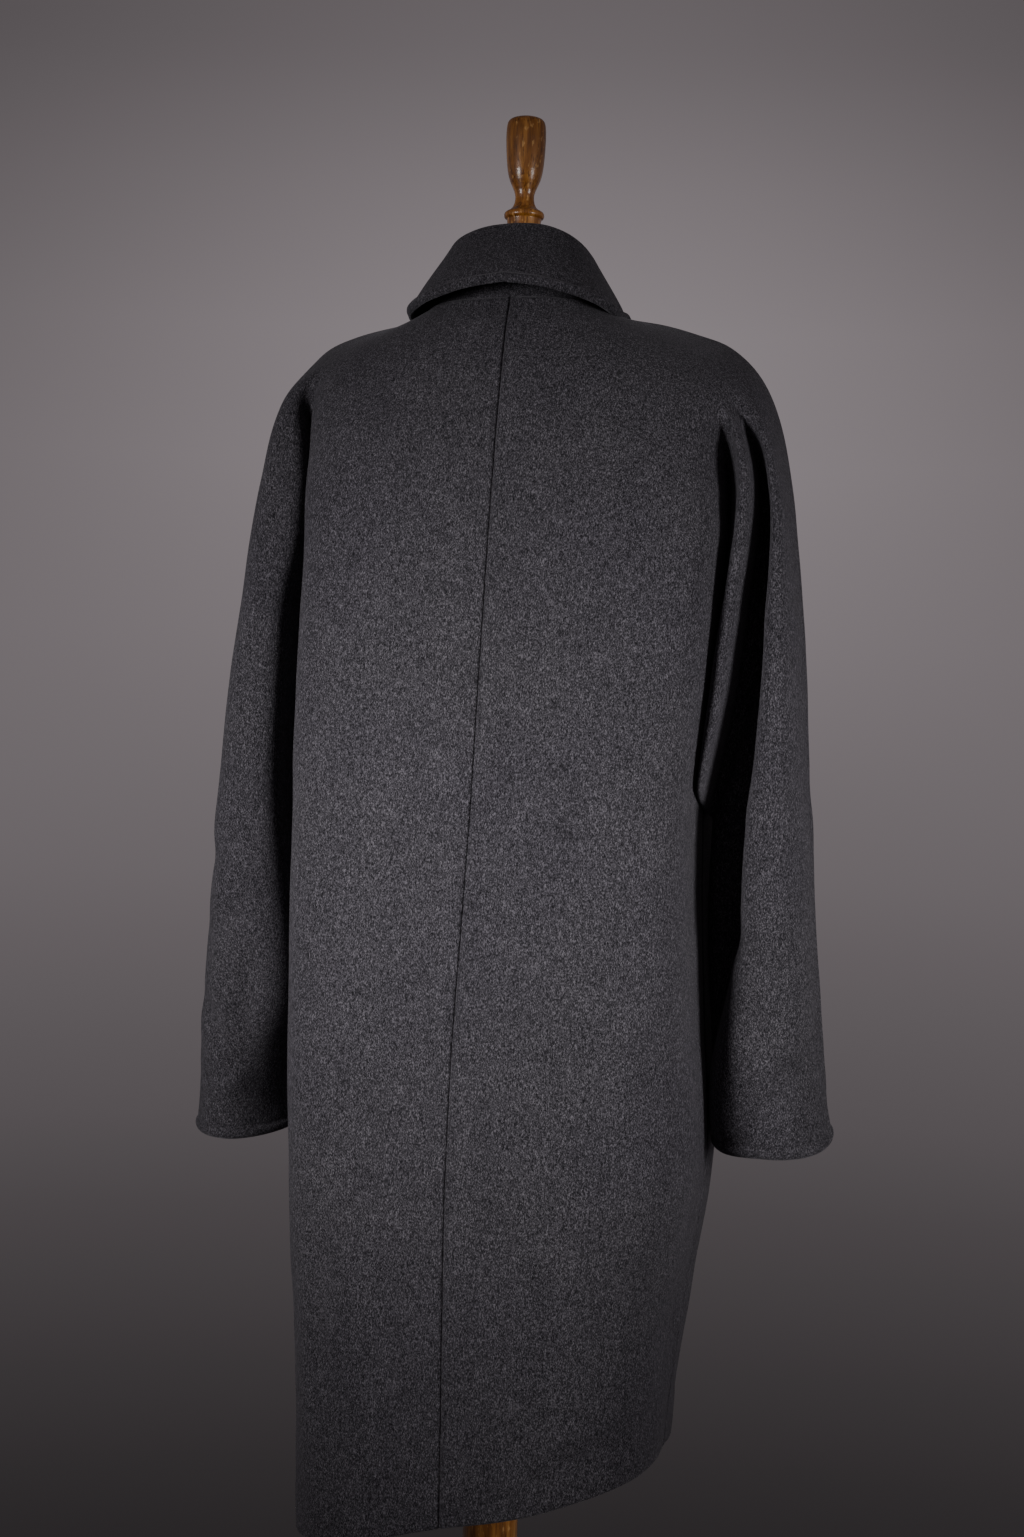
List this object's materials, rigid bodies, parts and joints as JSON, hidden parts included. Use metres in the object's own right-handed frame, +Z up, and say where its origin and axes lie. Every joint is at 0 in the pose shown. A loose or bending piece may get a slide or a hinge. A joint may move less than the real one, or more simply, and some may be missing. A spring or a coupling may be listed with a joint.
{
  "type": "wool overcoat on a dress form and turned wooden stand",
  "caption": "Long collared wool overcoat with sleeves cut in one with the body, closed in front, worn by a limbless dress form on a turned wooden stand.",
  "frame": {"origin": "centre of the underside of the stand's base, on the floor", "axes": "+Z up along the pole, -Y towards the front that the wearer faces, +X towards the wearer's left"},
  "size_m": [0.599, 0.44, 1.654],
  "materials": {
    "wool": "brushed charcoal melange coating wool",
    "button": "dark horn-like plastic, satin",
    "form_cover": "plain undyed linen over a hard shell",
    "turned_wood": "varnished golden brown hardwood"
  },
  "bodies": {
    "root": {"back_left": "wool", "back_right": "wool", "front_left": "wool", "front_right": "wool", "top_collar": "wool", "under_collar": "wool", "button_1": "button", "button_2": "button", "button_3": "button", "button_4": "button", "form_torso": "form_cover", "neck_cap": "turned_wood", "finial": "turned_wood", "pole": "turned_wood", "base": "turned_wood"}
  },
  "joints": []
}
